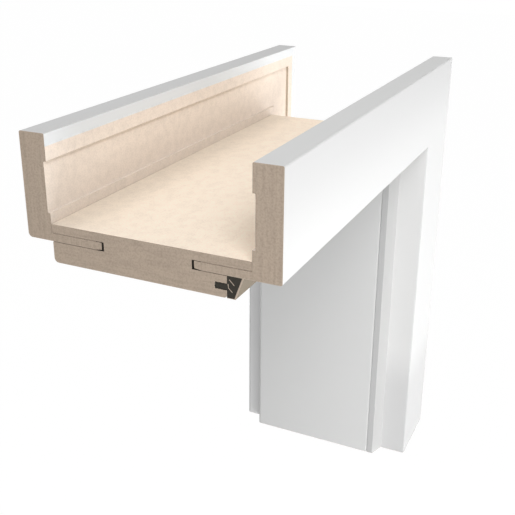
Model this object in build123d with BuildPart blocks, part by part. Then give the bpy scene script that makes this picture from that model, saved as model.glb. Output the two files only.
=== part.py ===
from build123d import *
import os

# Cut-away corner of an adjustable door casing frame, in millimetres.
# The head runs along X, the jamb runs down Z, and Y goes through the wall from
# the door side (front, -Y) to the far side (back, +Y). The origin is the middle
# of the jamb lining's wall-side face.

# Whole corner
frame_depth = 203.6  # front room face to back room face
head_length = 455.0  # outer corner to the head's cut end
jamb_height = 453.0  # outer corner to the jamb's cut end

# Casings: an upright leg with a thin tongue at its inner edge
casing_width = 80.0
casing_thickness = 21.6
tongue_thickness = 6.0
tongue_length = 43.0  # beyond the leg's wall-side face
tip_taper_length = 5.0  # lead-in planed off the tongue's visible side
tip_taper_depth = 0.7
relief_inset = 20.2  # outer edge to the hollow milled in the wall-side face
relief_width = 38.6
relief_depth = 2.2
relief_radius = 0.8
outer_edge_radius = 1.3
wall_edge_radius = 1.0
front_inner_radius = 1.5
back_inner_radius = 3.5

# Linings: a board grooved for both tongues, with a rebate for the door leaf
lining_thickness = 29.6
reveal = 16.5  # the lining's visible face stands this far inside the casings
stop_inset = 40.0  # front room face to the rebate's stop wall
stop_radius = 2.2
back_corner_radius = 3.5

# White foil wrapped round each board
foil_thickness = 0.4
foil_turn = 8.0  # how far it turns onto a casing's wall-side face

# Fits
tongue_play = 0.45  # on each side of a tongue in its groove
seam_gap = 0.3  # lining's end to a casing's wall-side face
groove_end_gap = 1.8  # tongue's tip to the bottom of its groove

# Gasket: a foam wedge in the rebate's corner, covered by a film that is also
# folded inside it, on a barbed stem pressed into the stop wall
gasket_base = 12.4
gasket_tip = 6.6
gasket_radius = 0.8
slope_film = 1.1  # measured across the wall
tip_film = 0.4
fold_thickness = 0.5
straight_fold = ((-1.7, -2.6), (-5.4, -6.3))  # from the rebate's corner
bent_fold = ((-0.8, -5.9), (-1.2, -8.9), (-4.0, -11.6))
kerf_width = 5.0
kerf_depth = 9.4
kerf_drop = 8.4  # rebate floor to the kerf's middle
stem_thickness = 3.0
stem_end_gap = 0.4
barb_count = 3

# Section lines. Across runs from the front (-) to the back (+) of the wall, and
# out runs from the lining's wall-side face towards the casings' outer edges.
room_face = frame_depth / 2
wall_face = room_face - casing_thickness
tongue_tip = wall_face - tongue_length
outer_edge = casing_width + reveal - lining_thickness
inner_edge = outer_edge - casing_width
tongue_back = inner_edge + tongue_thickness
relief_top = outer_edge - relief_inset
relief_foot = relief_top - relief_width
visible_face = inner_edge - reveal
stop_wall = stop_inset - room_face
lining_end = wall_face - seam_gap
groove_bottom = tongue_tip - groove_end_gap
taper_start = tongue_tip + tip_taper_length
kerf_middle = inner_edge - kerf_drop
kerf_foot = kerf_middle - kerf_width / 2
barb_length = (kerf_depth - stem_end_gap) / barb_count

# Members. The head starts at its cut end and the jamb at the outer corner, and
# both are cut by one mitre plane through that corner.
head_rise = (jamb_height - outer_edge) / 2  # origin to the head's wall-side face
corner = (outer_edge, 0, head_rise + outer_edge)
across = (0, 1, 0)
head_plane = Plane(origin=(outer_edge - head_length, 0, head_rise), x_dir=across, z_dir=(1, 0, 0))
jamb_plane = Plane(origin=(0, 0, head_rise + outer_edge), x_dir=across, z_dir=(0, 0, -1))
mitre_plane = Plane(origin=corner, z_dir=(-1, 0, 1))
members = {
    "head": (head_plane, head_length, Keep.TOP),
    "jamb": (jamb_plane, jamb_height, Keep.BOTTOM),
}


def foil_section(*turns, radii):
    """Foil that follows an outer line, with its thickness inside the line."""
    with BuildSketch() as section:
        with BuildLine():
            outside = FilletPolyline(*turns, radius=radii)
            offset(outside, amount=foil_thickness, side=Side.RIGHT)
        make_face()
    return section.sketch


def core_section(outline, other):
    """What is left of an outline beside another piece's section."""
    with BuildSketch() as section:
        add(outline)
        add(other, mode=Mode.SUBTRACT)
    return section.sketch


def casing_foil(inner_radius):
    """Foil from the wall-side face round the leg and along the tongue."""
    return foil_section(
        (wall_face, outer_edge - foil_turn),
        (wall_face, outer_edge),
        (room_face, outer_edge),
        (room_face, inner_edge),
        (taper_start, inner_edge),
        radii=(wall_edge_radius, outer_edge_radius, inner_radius),
    )


def casing_outline(inner_radius):
    """Leg with its wall-side hollow, and the tongue that enters the lining."""
    with BuildSketch() as section:
        with BuildLine():
            FilletPolyline(
                (tongue_tip, tongue_back),
                (wall_face, tongue_back),
                (wall_face, relief_foot),
                (wall_face + relief_depth, relief_foot),
                (wall_face + relief_depth, relief_top),
                (wall_face, relief_top),
                (wall_face, outer_edge),
                (room_face, outer_edge),
                (room_face, inner_edge),
                (taper_start, inner_edge),
                (tongue_tip, inner_edge + tip_taper_depth),
                radius=(
                    *(0, 0, 0, relief_radius, relief_radius, 0),
                    *(wall_edge_radius, outer_edge_radius, inner_radius, 0, 0),
                ),
                close=True,
            )
        make_face()
    return section.sketch


def lining_foil():
    """Foil from under the back tongue round the visible face to the gasket's kerf."""
    return foil_section(
        (lining_end, inner_edge - tongue_play),
        (lining_end, visible_face),
        (stop_wall, visible_face),
        (stop_wall, kerf_foot),
        radii=(back_corner_radius, stop_radius),
    )


def lining_outline():
    """Board with its door rebate, both tongue grooves and the gasket's kerf."""
    groove_width = tongue_thickness + 2 * tongue_play
    groove_foot = inner_edge - tongue_play
    with BuildSketch() as section:
        with BuildLine():
            FilletPolyline(
                (-lining_end, 0),
                (lining_end, 0),
                (lining_end, visible_face),
                (stop_wall, visible_face),
                (stop_wall, groove_foot),
                (-lining_end, groove_foot),
                radius=(0, 0, back_corner_radius, stop_radius, 0, 0),
                close=True,
            )
        make_face()
        for side in (-1, 1):
            with Locations((side * (groove_bottom + lining_end) / 2, groove_foot)):
                Rectangle(
                    lining_end - groove_bottom,
                    groove_width,
                    align=(Align.CENTER, Align.MIN),
                    mode=Mode.SUBTRACT,
                )
        with Locations((stop_wall, kerf_middle)):
            Rectangle(kerf_depth, kerf_width, align=(Align.MIN, Align.CENTER), mode=Mode.SUBTRACT)
    return section.sketch


def gasket_outline():
    """Wedge against the stop wall and the rebate floor."""
    with BuildSketch() as section:
        with BuildLine():
            FilletPolyline(
                (stop_wall, visible_face),
                (stop_wall, inner_edge),
                (stop_wall - gasket_base, inner_edge),
                (stop_wall - gasket_tip, visible_face),
                radius=(0, 0, 0, gasket_radius),
                close=True,
            )
        make_face()
    return section.sketch


def gasket_core():
    """The wedge without the film over its slope and tip."""
    with BuildSketch() as section:
        Polygon(
            (stop_wall, visible_face + tip_film),
            (stop_wall, inner_edge),
            (stop_wall - gasket_base + slope_film, inner_edge),
            (stop_wall - gasket_tip + slope_film, visible_face + tip_film),
            align=None,
        )
    return section.sketch


def gasket_folds():
    """Two folds of film inside the foam, one straight and one bent."""
    with BuildSketch(Plane((stop_wall, inner_edge))) as section:
        with BuildLine():
            Polyline(*straight_fold)
            Polyline(*bent_fold)
        trace(line_width=fold_thickness)
    return section.sketch


def gasket_stem():
    """Fir-tree stem whose barbs bear on the kerf's walls."""
    with BuildSketch() as section:
        for barb in range(barb_count):
            with Locations((stop_wall + barb * barb_length, kerf_middle)):
                Polygon(
                    (0, kerf_width / 2),
                    (0, -kerf_width / 2),
                    (barb_length, -stem_thickness / 2),
                    (barb_length, stem_thickness / 2),
                    align=None,
                )
    return section.sketch


def flipped(section):
    """The same section on the front of the wall."""
    with BuildSketch() as front:
        mirror(section, about=Plane.YZ)
    return front.sketch


def make_member(name, member, section):
    """Runs a section along the head or jamb, cuts its mitre and writes it."""
    plane, length, kept_side = members[member]
    with BuildPart() as piece:
        with BuildSketch(plane):
            add(section)
        extrude(amount=length)
        split(bisect_by=mitre_plane, keep=kept_side)
    piece.part.label = name
    export_step(piece.part, f"parts/{name}.step")


os.makedirs("parts", exist_ok=True)

back_foil = casing_foil(back_inner_radius)
front_foil = casing_foil(front_inner_radius)
inner_foil = lining_foil()
foam = gasket_core()
folds = gasket_folds()
sections = {
    "{}_lining": core_section(lining_outline(), inner_foil),
    "{}_lining_foil": inner_foil,
    "front_{}_casing": flipped(core_section(casing_outline(front_inner_radius), front_foil)),
    "front_{}_casing_foil": flipped(front_foil),
    "back_{}_casing": core_section(casing_outline(back_inner_radius), back_foil),
    "back_{}_casing_foil": back_foil,
    "{}_gasket": core_section(foam, folds),
    "{}_gasket_film": core_section(gasket_outline(), foam),
    "{}_gasket_folds": folds,
    "{}_gasket_stem": gasket_stem(),
}

for member in members:
    for name, section in sections.items():
        make_member(name.format(member), member, section)
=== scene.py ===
"""The cut-away corner of an adjustable door casing frame, dressed and lit.

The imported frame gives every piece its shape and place. This script gives each
piece its finish, sets soft studio light around the corner and looks at it from
above the head's cut end. Lengths are in metres, X runs along the head, Y goes
through the wall from the door side, and Z is up.
"""

from __future__ import annotations

import logging
import math
from dataclasses import dataclass
from enum import Enum, IntEnum
from typing import Union

import bpy
from mathutils import Matrix, Vector


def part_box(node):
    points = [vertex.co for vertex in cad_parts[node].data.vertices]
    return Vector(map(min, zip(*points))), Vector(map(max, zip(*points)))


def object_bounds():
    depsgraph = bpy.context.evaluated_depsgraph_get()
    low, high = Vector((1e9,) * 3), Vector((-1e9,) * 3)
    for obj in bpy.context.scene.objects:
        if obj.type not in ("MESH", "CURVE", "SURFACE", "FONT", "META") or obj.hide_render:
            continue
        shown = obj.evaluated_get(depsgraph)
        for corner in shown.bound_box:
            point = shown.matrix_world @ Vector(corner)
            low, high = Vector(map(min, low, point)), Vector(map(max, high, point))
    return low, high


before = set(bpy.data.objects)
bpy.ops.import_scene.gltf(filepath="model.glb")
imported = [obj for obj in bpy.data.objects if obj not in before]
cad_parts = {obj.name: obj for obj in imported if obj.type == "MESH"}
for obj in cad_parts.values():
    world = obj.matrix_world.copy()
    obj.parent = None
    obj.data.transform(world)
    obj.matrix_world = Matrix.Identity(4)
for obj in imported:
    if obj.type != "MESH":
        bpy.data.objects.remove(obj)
CAD_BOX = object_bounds()
MILLIMETRE = 0.001
TONGUE_THICKNESS = 6 * MILLIMETRE

# Noise lies between zero and one, and most of it near its middle. A texture
# starts to show at the faint value and shows fully from the strong value on.
NOISE_FAINT = 0.35
NOISE_MIDDLE = 0.5
NOISE_STRONG = 0.70
FINE_DETAIL = 3.0  # the finer layers of noise that a close texture has

log = logging.getLogger("door_casing_frame")

Colour = tuple[float, float, float]
Place = tuple[float, float, float]
Size = tuple[float, float, float]
Feed = Union["Value", bpy.types.NodeSocket, float, Colour]


class Axis(IntEnum):
    """The three axes, which also count the numbers of a place."""

    X = 0
    Y = 1
    Z = 2


class Member(Enum):
    """The two lengths of frame that meet at the corner."""

    HEAD = "head"
    JAMB = "jamb"

    @property
    def outward(self) -> Axis:
        """The axis from the opening into the wall, which also crosses the lining's layers."""
        return Axis.Z if self is Member.HEAD else Axis.X


class Side(Enum):
    """The two room faces of the wall."""

    FRONT = "front"
    BACK = "back"

    def span(self, near: float, far: float) -> tuple[float, float]:
        """A span of Y, lower end first, from two distances to the middle of the wall."""
        return (near, far) if self is Side.BACK else (-far, -near)


class Value:
    """A number that varies over a surface, used in ordinary arithmetic."""

    def __init__(self, sheet: "Sheet", socket: bpy.types.NodeSocket) -> None:
        """Wraps an output socket of a sheet."""
        self.sheet = sheet
        self.socket = socket

    def _math(self, operation: str, *operands: Feed) -> "Value":
        """Adds a Math node and returns its result."""
        node = self.sheet.add("ShaderNodeMath", {"operation": operation}, dict(enumerate(operands)))
        return Value(self.sheet, node.outputs["Value"])

    def __add__(self, other: Feed) -> "Value":
        """Sum."""
        return self._math("ADD", self, other)

    def __radd__(self, other: Feed) -> "Value":
        """Sum with a number on the left."""
        return self._math("ADD", other, self)

    def __sub__(self, other: Feed) -> "Value":
        """Difference."""
        return self._math("SUBTRACT", self, other)

    def __rsub__(self, other: Feed) -> "Value":
        """Difference from a number on the left."""
        return self._math("SUBTRACT", other, self)

    def __mul__(self, other: Feed) -> "Value":
        """Product."""
        return self._math("MULTIPLY", self, other)

    def __rmul__(self, other: Feed) -> "Value":
        """Product with a number on the left."""
        return self._math("MULTIPLY", other, self)

    def __lt__(self, limit: Feed) -> "Value":
        """One where the value is under the limit, and zero elsewhere."""
        return self._math("LESS_THAN", self, limit)

    def __gt__(self, limit: Feed) -> "Value":
        """One where the value is over the limit, and zero elsewhere."""
        return self._math("GREATER_THAN", self, limit)

    def or_else(self, other: Feed) -> "Value":
        """The larger of two masks."""
        return self._math("MAXIMUM", self, other)

    def within(self, low: Feed, high: Feed) -> "Value":
        """One between two limits, and zero outside them."""
        return (self > low) * (self < high)

    def spread(self, low: float, high: float) -> "Value":
        """Stretches part of the range over zero to one, and clips the rest.

        Args:
            low: The input that becomes zero.
            high: The input that becomes one.

        Returns:
            The stretched value.
        """
        sockets = {"Value": self, "From Min": low, "From Max": high}
        node = self.sheet.add("ShaderNodeMapRange", {"interpolation_type": "SMOOTHSTEP"}, sockets)
        return Value(self.sheet, node.outputs["Result"])


class Sheet:
    """A node tree that is filled one node at a time."""

    def __init__(self, tree: bpy.types.NodeTree) -> None:
        """Takes a tree and empties it."""
        self.tree = tree
        self.tree.nodes.clear()

    def add(
        self,
        kind: str,
        settings: dict[str, object] | None = None,
        sockets: dict[str | int, Feed] | None = None,
    ) -> bpy.types.Node:
        """Adds a node, sets its options and then feeds its sockets.

        Args:
            kind: The node's type.
            settings: Its options, set before its sockets are fed.
            sockets: What each input takes, by the input's name or number.

        Returns:
            The new node.
        """
        node = self.tree.nodes.new(kind)
        for option, choice in (settings or {}).items():
            setattr(node, option, choice)
        for key, value in (sockets or {}).items():
            self.feed(node.inputs[key], value)
        return node

    def feed(self, socket: bpy.types.NodeSocket, value: Feed) -> None:
        """Links a socket, or sets it where the value is a plain one.

        Args:
            socket: The input socket.
            value: A value, a socket, a number or a colour.
        """
        if isinstance(value, Value):
            value = value.socket
        if isinstance(value, bpy.types.NodeSocket):
            self.tree.links.new(value, socket)
        elif isinstance(value, tuple) and socket.type == "RGBA":
            socket.default_value = (*value, 1.0)
        else:
            socket.default_value = value

    def background_seen(self) -> Value:
        """One for rays that show the background, directly, in a gloss or through glass.

        Returns:
            The mask.
        """
        path = self.add("ShaderNodeLightPath")
        kinds = ("Is Camera Ray", "Is Glossy Ray", "Is Transmission Ray")
        camera, gloss, glass = (Value(self, path.outputs[kind]) for kind in kinds)
        return camera.or_else(gloss).or_else(glass)


class Surface(Sheet):
    """A piece's material, with a surface shader to feed."""

    def __init__(self, name: str) -> None:
        """Starts a material.

        Args:
            name: The material's name.
        """
        self.material = bpy.data.materials.new(name)
        self.material.use_nodes = True
        super().__init__(self.material.node_tree)
        self.shader = self.add("ShaderNodeBsdfPrincipled")
        self.add("ShaderNodeOutputMaterial", sockets={"Surface": self.shader.outputs["BSDF"]})
        self.place = self.add("ShaderNodeTexCoord").outputs["Object"]

    def axes(self) -> tuple[Value, Value, Value]:
        """The place on the part, along X, Y and Z."""
        node = self.add("ShaderNodeSeparateXYZ", sockets={"Vector": self.place})
        return tuple(Value(self, output) for output in node.outputs)

    def grain(self, size: float | Size, detail: float = 2.0, sharpness: float = 0.5) -> Value:
        """Cloudy noise whose blotches have a real size.

        Args:
            size: How long a blotch is, or how long along each axis.
            detail: How many finer layers it has.
            sharpness: How strong the finer layers are.

        Returns:
            Noise about its middle value.
        """
        lengths = size if isinstance(size, tuple) else (size, size, size)
        factors = {0: self.place, 1: tuple(1.0 / length for length in lengths)}
        scaled = self.add("ShaderNodeVectorMath", {"operation": "MULTIPLY"}, factors)
        sockets = {
            "Vector": scaled.outputs["Vector"],
            "Scale": 1.0,
            "Detail": detail,
            "Roughness": sharpness,
        }
        return Value(self, self.add("ShaderNodeTexNoise", sockets=sockets).outputs["Fac"])

    def blend(self, share: Feed, base: Feed, over: Feed) -> bpy.types.NodeSocket:
        """Mixes two colours.

        Args:
            share: How much of the second colour shows.
            base: The first colour.
            over: The second colour.

        Returns:
            The mixed colour.
        """
        factor, first, second, result = 0, 6, 7, 2  # the node's sockets for colours, by number
        sockets = {factor: share, first: base, second: over}
        return self.add("ShaderNodeMix", {"data_type": "RGBA"}, sockets).outputs[result]

    def dim(self, colour: Feed, level: Value) -> bpy.types.NodeSocket:
        """Multiplies a colour by a level that varies over the surface."""
        node = self.add("ShaderNodeVectorMath", {"operation": "SCALE"}, {0: colour, "Scale": level})
        return node.outputs["Vector"]

    def relief(self, height: Value, depth: float) -> None:
        """Gives the surface a texture that rises from zero to one over a depth in metres."""
        bump = self.add("ShaderNodeBump", sockets={"Height": height, "Distance": depth})
        self.feed(self.shader.inputs["Normal"], bump.outputs["Normal"])

    def shade(self, colour: Feed, roughness: Feed, specular: float) -> None:
        """Feeds the surface shader.

        Args:
            colour: The surface's own colour.
            roughness: How matt it is.
            specular: How much it reflects.
        """
        self.feed(self.shader.inputs["Base Color"], colour)
        self.feed(self.shader.inputs["Roughness"], roughness)
        self.feed(self.shader.inputs["Specular IOR Level"], specular)


@dataclass(frozen=True)
class SawnEnds:
    """Where the head and the jamb were sawn off, and how thin the sawn skin is."""

    head: float
    jamb: float
    skin: float = 0.2 * MILLIMETRE

    def mask(self, sheet: Surface) -> Value:
        """One on the two sawn ends, and zero elsewhere."""
        along_head, _, up_jamb = sheet.axes()
        return (along_head < self.head + self.skin).or_else(up_jamb < self.jamb + self.skin)


class Tone(Enum):
    """Colours that only part of a piece has; many of them are painted light or shade."""

    BAND = (0.955, 0.85, 0.75)
    # Milled face, a little darker and browner than the sanded face, partly as painted shade in the
    # hollow.
    MILLED_AND_SHADED = (0.93, 0.825, 0.725)
    # Painted shade over the hollow, darkest towards its foot.
    HOLLOW_SHADE = (0.76, 0.672, 0.595)
    # Painted shade on the land between the hollow and the lining.
    SHADED_LAND = (0.735, 0.65, 0.575)
    # Painted shade on the lining's wall side beside the back casing.
    SHADE_BY_CASING = (0.80, 0.705, 0.595)
    # A painted shadow line at the hollow's outer step.
    SHADOW_LINE = (0.52, 0.45, 0.37)
    # Painted shade inside the grooves.
    GROOVE_SHADE = (0.24, 0.195, 0.15)
    # Painted deep shade: the kerf, the grooves' ends and the tongues' tips.
    DEEP_SHADE = (0.04, 0.035, 0.028)
    SAWN_SHEET = (0.46, 0.375, 0.30)
    # Lighter and darker copies of the white foil, painted light and shade by face.
    LIT_TURNED_FOIL = (0.875, 0.915, 0.945)
    SHADED_OUTER_FOIL = (0.575, 0.575, 0.575)
    LIT_REBATE_FOIL = (0.70, 0.70, 0.695)
    LIT_INNER_FOIL = (0.745, 0.745, 0.745)
    LIT_ROOM_FOIL = (0.70, 0.702, 0.70)
    SHADED_FOIL = (0.60, 0.60, 0.60)
    SEAL_TIP = (0.50, 0.50, 0.50)


@dataclass(frozen=True)
class Patch:
    """A part of a surface with its own tone, between two limits on each of two axes.

    Attributes:
        tone: Its colour.
        axis: The axis that its low and high limits are on.
        low: Its lower limit on that axis.
        high: Its upper limit on that axis.
        start: Its lower limit on Y.
        end: Its upper limit on Y.
        fade_low: How far it fades out towards its lower limit.
        fade_high: How far it fades out towards its upper limit.
        fade_start: How far it fades out towards its lower limit on Y.
        margin: How far it reaches past every limit.
    """

    tone: Tone
    axis: Axis
    low: float
    high: float
    start: float
    end: float
    fade_low: float = 0.0
    fade_high: float = 0.0
    fade_start: float = 0.0
    margin: float = 0.1 * MILLIMETRE

    def mask(self, sheet: Surface) -> Value:
        """One on the patch, less where it fades out, and zero elsewhere.

        Args:
            sheet: The material that the mask is for.

        Returns:
            The mask.
        """
        axes = sheet.axes()
        place, depth = axes[self.axis], axes[Axis.Y]
        mask = depth.within(self.start - self.margin, self.end + self.margin)
        mask = mask * place.within(self.low - self.margin, self.high + self.margin)
        if self.fade_low:
            mask = mask * place.spread(self.low, self.low + self.fade_low)
        if self.fade_high:
            mask = mask * (1 - place.spread(self.high - self.fade_high, self.high))
        if self.fade_start:
            mask = mask * depth.spread(self.start, self.start + self.fade_start)
        return mask

    @staticmethod
    def over(base: Feed, patches: tuple["Patch", ...], sheet: Surface) -> Feed:
        """Lays patches over a colour, later ones on top.

        Args:
            base: The colour of the rest of the piece.
            patches: The patches.
            sheet: The material that they are on.

        Returns:
            The patched colour.
        """
        for patch in patches:
            base = sheet.blend(patch.mask(sheet), base, patch.tone.value)
        return base


@dataclass(frozen=True)
class BoardFinish:
    """Bare fibreboard: pale sanded faces, and brown where it is sawn.

    Its pressed layers are stacked along one axis. A level is a colour's brightness
    where nothing dims it, and fibres, blotches and layers each take off up to their
    share. On a section the fibres start to show at a noise value of its own. The nap
    is how high the fibres stand, with the share of it that sanding leaves.
    """

    name: str
    stacked: Axis
    ends: SawnEnds
    patches: tuple[Patch, ...] = ()
    face: Colour = (0.99, 0.863, 0.72)
    face_level: float = 1.075
    face_fibres: float = 0.095
    face_blotches: float = 0.06
    section: Colour = (0.428, 0.346, 0.274)
    section_level: float = 1.085
    section_fibres: float = 0.17
    section_layers: float = 0.10
    section_faint: float = 0.38
    fibre: float = 1.4 * MILLIMETRE
    fibre_sharpness: float = 0.6
    blotch: float = 7 * MILLIMETRE
    layer: float = 2.2 * MILLIMETRE
    layer_length: float = 26 * MILLIMETRE
    nap: float = 0.12 * MILLIMETRE
    sanded_nap: float = 0.25
    roughness: float = 0.85
    sawn_roughness: float = 0.1
    specular: float = 0.2

    def build(self) -> bpy.types.Material:
        """Makes the material.

        Returns:
            The material.
        """
        sheet = Surface(self.name)
        sawn = self.ends.mask(sheet)
        fibres = sheet.grain(self.fibre, FINE_DETAIL, self.fibre_sharpness)
        blotches = sheet.grain(self.blotch).spread(NOISE_FAINT, NOISE_STRONG)
        lengths = (self.layer if axis is self.stacked else self.layer_length for axis in Axis)
        layers = sheet.grain(tuple(lengths)).spread(NOISE_FAINT, NOISE_STRONG)
        face_fibres = self.face_fibres * fibres.spread(NOISE_FAINT, NOISE_STRONG)
        section_fibres = self.section_fibres * fibres.spread(self.section_faint, NOISE_STRONG)
        face = sheet.dim(
            Patch.over(self.face, self.patches, sheet),
            self.face_level - face_fibres - self.face_blotches * blotches,
        )
        section = sheet.dim(
            self.section, self.section_level - section_fibres - self.section_layers * layers
        )
        sheet.shade(
            sheet.blend(sawn, face, section),
            self.roughness + self.sawn_roughness * sawn,
            self.specular,
        )
        sheet.relief(fibres * (self.sanded_nap + (1 - self.sanded_nap) * sawn), self.nap)
        return sheet.material


@dataclass(frozen=True)
class FoilFinish:
    """White satin foil with a fine pressed texture, whose patches are lighter and darker copies of it,
    painted light and shade by face.
    """

    name: str
    ends: SawnEnds
    patches: tuple[Patch, ...] = ()
    white: Colour = (0.66, 0.662, 0.658)
    cloud: Colour = (0.645, 0.647, 0.643)
    cloud_size: float = 50 * MILLIMETRE
    texture: float = 0.9 * MILLIMETRE
    texture_depth: float = 0.012 * MILLIMETRE
    roughness: float = 0.42
    texture_roughness: float = 0.08
    specular: float = 0.3

    def build(self) -> bpy.types.Material:
        """Makes the material.

        Returns:
            The material.
        """
        sheet = Surface(self.name)
        pressed = sheet.grain(self.texture)
        clouded = sheet.blend(sheet.grain(self.cloud_size), self.white, self.cloud)
        white = Patch.over(clouded, self.patches, sheet)
        sheet.shade(
            sheet.blend(self.ends.mask(sheet), white, Tone.SAWN_SHEET.value),
            self.roughness + self.texture_roughness * pressed,
            self.specular,
        )
        sheet.relief(pressed, self.texture_depth)
        return sheet.material


@dataclass(frozen=True)
class FoamFinish:
    """Dark sponge rubber, whose cells open at one noise value and are deepest from another on."""

    name: str = "dark_foam"
    rubber: Colour = (0.037, 0.033, 0.026)
    cell: Colour = (0.012, 0.011, 0.010)
    cell_size: float = 0.5 * MILLIMETRE
    cell_depth: float = 0.2 * MILLIMETRE
    cell_rim: float = 0.55
    cell_floor: float = 0.75
    roughness: float = 0.9
    specular: float = 0.3

    def build(self) -> bpy.types.Material:
        """Makes the material.

        Returns:
            The material.
        """
        sheet = Surface(self.name)
        cells = sheet.grain(self.cell_size, FINE_DETAIL).spread(self.cell_rim, self.cell_floor)
        sheet.shade(sheet.blend(cells, self.rubber, self.cell), self.roughness, self.specular)
        sheet.relief(1 - cells, self.cell_depth)
        return sheet.material


@dataclass(frozen=True)
class FilmFinish:
    """Pale film over the seal, dusty from the saw near the head's cut end.

    The dust covers the film to one distance from the cut end and thins out to
    another, along a line that wavers.
    """

    name: str
    ends: SawnEnds
    patches: tuple[Patch, ...] = ()
    film: Colour = (0.63, 0.63, 0.625)
    dust: Colour = (0.225, 0.183, 0.13)
    dust_full: float = 30 * MILLIMETRE
    dust_reach: float = 60 * MILLIMETRE
    dust_waver: float = 12 * MILLIMETRE
    speck: float = 1.2 * MILLIMETRE
    speck_depth: float = 0.03 * MILLIMETRE
    roughness: float = 0.5
    speck_roughness: float = 0.2
    specular: float = 0.3

    def build(self) -> bpy.types.Material:
        """Makes the material.

        Returns:
            The material.
        """
        sheet = Surface(self.name)
        along_head, _, _ = sheet.axes()
        specks = sheet.grain(self.speck, FINE_DETAIL)
        reach = along_head - self.ends.head + self.dust_waver * (specks - NOISE_MIDDLE)
        clean = reach.spread(self.dust_full, self.dust_reach)
        film = sheet.blend(clean, self.dust, Patch.over(self.film, self.patches, sheet))
        sheet.shade(
            sheet.blend(self.ends.mask(sheet), film, Tone.SAWN_SHEET.value),
            self.roughness + self.speck_roughness * specks,
            self.specular,
        )
        sheet.relief(specks, self.speck_depth)
        return sheet.material


@dataclass(frozen=True)
class Finishes:
    """The finishes that several pieces share, built once."""

    ends: SawnEnds
    foam: bpy.types.Material
    foil: dict[Member, bpy.types.Material]
    film: dict[Member, bpy.types.Material]

    @classmethod
    def build(cls, ends: SawnEnds) -> "Finishes":
        """Makes the materials.

        Args:
            ends: Where the frame was sawn off.

        Returns:
            The finishes.
        """
        foil, film = {}, {}
        for member in Member:
            front, back = Casing(member, Side.FRONT), Casing(member, Side.BACK)
            # The foil's lighter and darker copies by face, as painted light and shade.
            wrapped = (
                front.turned_edge(),
                back.turned_edge(),
                front.inner_edge(),
                back.inner_edge(),
                back.outer_edge(),
                *front.door_side(),
            )
            tip = (Gasket(member).tip(),)
            foil[member] = FoilFinish(f"{member.value}_foil", ends, wrapped).build()
            film[member] = FilmFinish(f"{member.value}_seal_film", ends, tip).build()
        return cls(ends=ends, foam=FoamFinish().build(), foil=foil, film=film)


def dress(node: str, finish: bpy.types.Material) -> None:
    """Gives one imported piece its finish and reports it.

    Args:
        node: The piece's name.
        finish: Its material.
    """
    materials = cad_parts[node].data.materials
    materials.clear()
    materials.append(finish)
    log.info("%s takes %s", node, finish.name)


@dataclass(frozen=True)
class Lining:
    """A grooved board across the wall, wrapped on its visible side.

    Attributes:
        member: The length of frame that it belongs to.
        tongue_play: The play on each side of a tongue in its groove.
        groove_end_gap: A tongue's tip to its groove's bottom.
        deep_shade_length: How much of a groove is painted dark as deep shade, from its bottom.
        shaded_width: How much of the wall side carries painted shade, from the back casing.
    """

    member: Member
    tongue_play: float = 0.45 * MILLIMETRE
    groove_end_gap: float = 1.8 * MILLIMETRE
    deep_shade_length: float = 6.8 * MILLIMETRE
    shaded_width: float = 40 * MILLIMETRE

    def shaded_side(self) -> Patch:
        """Painted shade on the wall side beside the back casing, darkest next to it.

        Returns:
            Its patch.
        """
        _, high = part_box(f"{self.member.value}_lining")
        level = high[self.member.outward]
        return Patch(
            Tone.SHADE_BY_CASING,
            self.member.outward,
            level,
            level,
            high.y - self.shaded_width,
            high.y,
            fade_start=self.shaded_width,
        )

    def kerf(self) -> Patch:
        """The seal's kerf, painted dark as deep shade.

        Returns:
            Its patch, which is as wide and as deep as the stem in it.
        """
        low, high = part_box(f"{self.member.value}_gasket_stem")
        outward = self.member.outward
        # painted deep shade in the kerf
        return Patch(Tone.DEEP_SHADE, outward, low[outward], high[outward], low.y, high.y)

    def groove(self, side: Side) -> tuple[Patch, Patch]:
        """A groove, worked out from the tongue that sits in it.

        Args:
            side: The side of the wall that it opens to.

        Returns:
            The groove in painted shade and its end in painted deep shade.
        """
        outward = self.member.outward
        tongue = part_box(f"front_{self.member.value}_casing_foil")[0][outward]
        tongue_tip = -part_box(f"front_{self.member.value}_casing")[1].y
        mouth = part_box(f"{self.member.value}_lining")[1].y
        bottom = tongue_tip - self.groove_end_gap
        width = (tongue - self.tongue_play, tongue + TONGUE_THICKNESS + self.tongue_play)
        end = side.span(bottom, bottom + self.deep_shade_length)
        return (
            # painted shade in the groove, and painted deep shade at its end
            Patch(Tone.GROOVE_SHADE, outward, *width, *side.span(bottom, mouth)),
            Patch(Tone.DEEP_SHADE, outward, *width, *end),
        )

    def dress(self, finishes: Finishes) -> None:
        """Dresses the board and its foil.

        Args:
            finishes: The corner's finishes.
        """
        board = f"{self.member.value}_lining"
        # Painted shade beside the back casing, in the kerf and in the grooves.
        grooves = (*self.groove(Side.FRONT), *self.groove(Side.BACK))
        patches = (self.shaded_side(), self.kerf(), *grooves)
        finish = BoardFinish(f"{board}_board", self.member.outward, finishes.ends, patches)
        dress(board, finish.build())
        dress(f"{board}_foil", finishes.foil[self.member])


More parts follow.
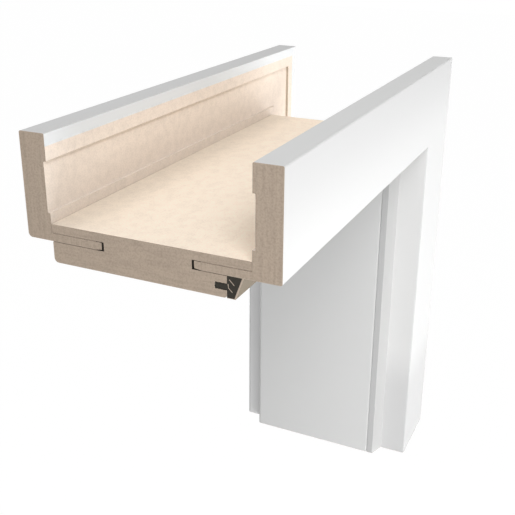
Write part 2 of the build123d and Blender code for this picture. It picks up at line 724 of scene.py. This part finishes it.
@dataclass(frozen=True)
class Casing:
    """A tongued board on one room face of the wall, wrapped in foil.

    Attributes:
        member: The length of frame that it belongs to.
        side: The room face that it stands on.
        width: The leg's width.
        thickness: The leg's thickness.
        tongue_length: How far the tongue goes past the wall side.
        tip_length: How much of the tongue's tip is painted dark as deep shade.
        hollow_inset: The outer edge to the hollow milled in the wall side.
        hollow_width: The hollow's width.
        hollow_depth: The hollow's depth.
        shadow_line_width: How wide the painted shadow line at the hollow's outer step is.
        turned_width: How far the foil is turned onto the wall side.
        primed_width: How wide the line of primer beside the turned foil is.
        foot_height: How far up the door side's grey foot reaches.
        foot_fade: How much of that it takes to fade out.
    """

    member: Member
    side: Side
    width: float = 80 * MILLIMETRE
    thickness: float = 21.6 * MILLIMETRE
    tongue_length: float = 43 * MILLIMETRE
    tip_length: float = 5 * MILLIMETRE
    hollow_inset: float = 20.2 * MILLIMETRE
    hollow_width: float = 38.6 * MILLIMETRE
    hollow_depth: float = 2.2 * MILLIMETRE
    shadow_line_width: float = 0.4 * MILLIMETRE
    turned_width: float = 8 * MILLIMETRE
    primed_width: float = 1.4 * MILLIMETRE
    foot_height: float = 140 * MILLIMETRE
    foot_fade: float = 60 * MILLIMETRE

    @property
    def wall_face(self) -> float:
        """How far the wall side is from the middle of the wall."""
        return CAD_BOX[1].y - self.thickness

    @property
    def edge(self) -> float:
        """Where the outer edge is, on the outward axis."""
        return CAD_BOX[1][self.member.outward]

    def _patch(self, tone: Tone, low: float, high: float, depth: float = 0.0, **fades: float) -> Patch:
        """A patch from the wall side to a depth behind it, with its limits on the outward axis."""
        reach = self.side.span(self.wall_face, self.wall_face + depth)
        return Patch(tone, self.member.outward, low, high, *reach, **fades)

    def patches(self) -> tuple[Patch, ...]:
        """The surfaces that the cutter left, from the widest to the narrowest.

        Returns:
            The band under the foil, the milled hollow, partly in painted shade and
            with more painted shade towards its foot, the land under it in painted shade,
            a painted shadow line at the hollow's outer step, the tongue's tip painted dark
            as deep shade, and the pale line of primer along the foil's edge in the turned
            foil's painted-light tone.
        """
        outward = self.member.outward
        foil_edge = self.edge - self.turned_width
        top = self.edge - self.hollow_inset
        foot = top - self.hollow_width
        inner_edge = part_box(f"{self.side.value}_{self.member.value}_casing")[0][outward]
        tongue_edge = inner_edge + TONGUE_THICKNESS
        tongue_tip = self.wall_face - self.tongue_length
        tip = self.side.span(tongue_tip, tongue_tip + self.tip_length)
        return (
            self._patch(Tone.BAND, top, foil_edge),
            # the milled hollow, partly in painted shade
            self._patch(Tone.MILLED_AND_SHADED, foot, top, self.hollow_depth),
            # painted shade, darker towards the hollow's foot
            self._patch(Tone.HOLLOW_SHADE, foot, top, self.hollow_depth, fade_high=self.hollow_width),
            # the land in painted shade
            self._patch(Tone.SHADED_LAND, tongue_edge, foot),
            # painted shadow line at the hollow's outer step
            self._patch(Tone.SHADOW_LINE, top - self.shadow_line_width, top, self.hollow_depth),
            # the tongue's tip painted dark as deep shade
            Patch(Tone.DEEP_SHADE, outward, inner_edge, tongue_edge, *tip),
            # the turned foil's painted-light tone, also on the primer line
            self._patch(Tone.LIT_TURNED_FOIL, foil_edge - self.primed_width, foil_edge),
        )

    def turned_edge(self) -> Patch:
        """The foil that is turned onto the wall side, in a lighter copy of the foil as painted light.
        """
        return self._patch(Tone.LIT_TURNED_FOIL, self.edge - self.turned_width, self.edge)

    def outer_edge(self) -> Patch:
        """The foil over the outer edge, in a darker copy of the foil as painted shade."""
        return self._patch(Tone.SHADED_OUTER_FOIL, self.edge, self.edge, self.thickness)

    def inner_edge(self) -> Patch:
        """The foil along the leg's inner edge and the tongue, in a lighter copy of the foil as painted
        light.

        Returns:
            Its patch.
        """
        low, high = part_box(f"{self.side.value}_{self.member.value}_casing_foil")
        edge = low[self.member.outward]
        tone = Tone.LIT_REBATE_FOIL if self.side is Side.FRONT else Tone.LIT_INNER_FOIL
        return Patch(tone, self.member.outward, edge, edge, low.y, high.y)

    def door_side(self) -> tuple[Patch, ...]:
        """The foil towards the door, a little lighter on the room face as painted light, and darker at
        the corner's top and foot as painted shade.

        Returns:
            The room face, its top, and the foot of the face and of the rebate.
        """
        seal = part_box(f"{self.member.value}_gasket_film")
        room_face, foot, top = CAD_BOX[0].y, CAD_BOX[0].z, CAD_BOX[1].z
        face = (room_face, room_face)
        rebate = (room_face, seal[0].y)
        return (
            Patch(Tone.LIT_ROOM_FOIL, self.member.outward, self.edge - self.width, self.edge, *face),
            # painted shade, darkest at the corner's top
            Patch(Tone.SHADED_FOIL, Axis.Z, top - self.width, top, *face, fade_low=self.width),
            # painted shade, darkest at the jamb's foot
            Patch(
                Tone.SHADED_FOIL, Axis.Z, foot, foot + self.foot_height, *rebate, fade_high=self.foot_fade
            ),
        )

    def dress(self, finishes: Finishes) -> None:
        """Dresses the board and its foil.

        Args:
            finishes: The corner's finishes.
        """
        board = f"{self.side.value}_{self.member.value}_casing"
        finish = BoardFinish(f"{board}_board", Axis.Y, finishes.ends, self.patches())
        dress(board, finish.build())
        dress(f"{board}_foil", finishes.foil[self.member])


@dataclass(frozen=True)
class Gasket:
    """The door seal: a foam core under a film, on a barbed stem."""

    member: Member

    def tip(self) -> Patch:
        """The narrow face that stands level with the lining.

        Returns:
            Its patch.
        """
        low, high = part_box(f"{self.member.value}_gasket_film")
        level = low[self.member.outward]
        return Patch(Tone.SEAL_TIP, self.member.outward, level, level, low.y, high.y)

    def dress(self, finishes: Finishes) -> None:
        """Dresses the core, the stem, the film and its folds.

        Args:
            finishes: The corner's finishes.
        """
        core = f"{self.member.value}_gasket"
        dress(core, finishes.foam)
        dress(f"{core}_stem", finishes.foam)
        dress(f"{core}_film", finishes.film[self.member])
        dress(f"{core}_folds", finishes.film[self.member])


@dataclass(frozen=True)
class Lamp:
    """A soft square lamp with its power in watts, aimed near the middle of the part."""

    name: str
    place: Place
    width: float
    power: float
    target: Place = (-0.1, -0.02, 0.06)

    def build(self) -> None:
        """Adds the lamp."""
        data = bpy.data.lights.new(self.name, "AREA")
        data.energy = self.power
        data.size = self.width
        lamp = bpy.data.objects.new(self.name, data)
        lamp.location = self.place
        aim = Vector(self.target) - Vector(self.place)
        lamp.rotation_euler = aim.to_track_quat("-Z", "Y").to_euler()
        lamp.visible_camera = False
        bpy.context.scene.collection.objects.link(lamp)
        log.info("lamp %s of %.1f W", self.name, self.power)


@dataclass(frozen=True)
class Studio:
    """White surroundings with a floor at the height of a room's, and soft lamps.

    Attributes:
        floor_height: Where the floor lies on Z.
        floor_width: How wide and how deep it is.
        floor_white: The colour of its matt share.
        surroundings: How strongly the surroundings light the object.
        backdrop: The colour of the background.
        glow_share: How much of the floor glows where it is seen as background.
        glow_level: How brightly that share glows.
        lamps: The soft lamps.
    """

    floor_height: float = -1.8
    floor_width: float = 40.0
    floor_white: Colour = (0.8, 0.8, 0.8)
    surroundings: float = 0.30
    backdrop: Colour = (1.0, 1.0, 1.0)
    glow_share: float = 0.92
    glow_level: float = 1.06
    lamps: tuple[Lamp, ...] = (
        Lamp("key_lamp", (-1.6, -1.0, 1.8), width=1.25, power=31.7),
        Lamp("near_lamp", (-0.5, -0.65, -0.35), width=0.43, power=3.0),
        Lamp("front_lamp", (1.2, -1.5, -0.4), width=1.01, power=21.6),
        Lamp("side_lamp", (-1.7, -0.6, -0.05), width=0.85, power=6.3),
        Lamp("top_lamp", (-0.4, 0.6, 1.3), width=0.71, power=3.0),
        Lamp("far_lamp", (0.5, -0.7, 0.8), width=0.55, power=0.8),
        Lamp("back_lamp", (1.0, 1.25, -0.3), width=0.85, power=20.0),
    )

    def build(self) -> None:
        """Sets up the surroundings, the floor and the lamps."""
        self._light_surroundings()
        self._lay_floor()
        for lamp in self.lamps:
            lamp.build()

    def _light_surroundings(self) -> None:
        """Lights the object evenly from all round, and shows pure white."""
        world = bpy.data.worlds.new("surroundings")
        world.use_nodes = True
        bpy.context.scene.world = world
        sheet = Sheet(world.node_tree)
        level = self.surroundings + (1 - self.surroundings) * sheet.background_seen()
        sockets = {"Color": self.backdrop, "Strength": level}
        background = sheet.add("ShaderNodeBackground", sockets=sockets)
        sheet.add("ShaderNodeOutputWorld", sockets={"Surface": background.outputs["Background"]})

    def _lay_floor(self) -> None:
        """Lays a pale floor that keeps the object's shadow."""
        bpy.ops.mesh.primitive_plane_add(size=self.floor_width, location=(0.0, 0.0, self.floor_height))
        floor = bpy.context.object
        floor.name = "floor"
        material = bpy.data.materials.new("pale_floor")
        material.use_nodes = True
        sheet = Sheet(material.node_tree)
        matt = sheet.add("ShaderNodeBsdfDiffuse", sockets={"Color": self.floor_white})
        glow_sockets = {"Color": self.backdrop, "Strength": self.glow_level}
        glow = sheet.add("ShaderNodeEmission", sockets=glow_sockets)
        share = self.glow_share * sheet.background_seen()
        shaders = {"Fac": share, 1: matt.outputs["BSDF"], 2: glow.outputs["Emission"]}
        mixed = sheet.add("ShaderNodeMixShader", sockets=shaders)
        sheet.add("ShaderNodeOutputMaterial", sockets={"Surface": mixed.outputs["Shader"]})
        floor.data.materials.append(material)


@dataclass(frozen=True)
class Camera:
    """A long lens above the head's cut end, as in the photograph.

    Attributes:
        place: Where it stands.
        azimuth: The way it looks, in degrees from +Y towards +X.
        dip: How far it looks down, in degrees.
        roll: How far it is turned about its view, in degrees.
        lens: Its focal length in millimetres.
        shift: How far the picture is off its axis, as shares of its width.
    """

    place: Place = (-0.83075, -0.28957, 0.40226)
    azimuth: float = 64.878
    dip: float = 20.989
    roll: float = 0.251
    lens: float = 57.716
    shift: tuple[float, float] = (0.00526, -0.05121)

    def build(self) -> None:
        """Adds the camera and looks through it."""
        turn = math.radians(self.azimuth)
        dip = math.radians(self.dip)
        roll = math.radians(self.roll)
        ahead = Vector((math.sin(turn) * math.cos(dip), math.cos(turn) * math.cos(dip), -math.sin(dip)))
        level = Vector((math.cos(turn), -math.sin(turn), 0.0))
        upright = level.cross(ahead)
        right = math.cos(roll) * level + math.sin(roll) * upright
        up = math.cos(roll) * upright - math.sin(roll) * level
        axes = Matrix((right, up, -ahead)).transposed()
        data = bpy.data.cameras.new("camera")
        data.lens = self.lens
        data.shift_x, data.shift_y = self.shift
        camera = bpy.data.objects.new("camera", data)
        camera.matrix_world = Matrix.LocRotScale(Vector(self.place), axes.to_quaternion(), None)
        bpy.context.scene.collection.objects.link(camera)
        bpy.context.scene.camera = camera


def main() -> None:
    """Dresses every piece and sets up the light and the camera."""
    logging.basicConfig(level=logging.INFO, format="%(name)s: %(message)s")
    bpy.context.scene.view_settings.view_transform = "Standard"
    ends = SawnEnds(head=CAD_BOX[0].x, jamb=CAD_BOX[0].z)
    finishes = Finishes.build(ends)
    for member in Member:
        Lining(member).dress(finishes)
        Gasket(member).dress(finishes)
        for side in Side:
            Casing(member, side).dress(finishes)
    Studio().build()
    Camera().build()


if __name__ == "__main__":
    main()
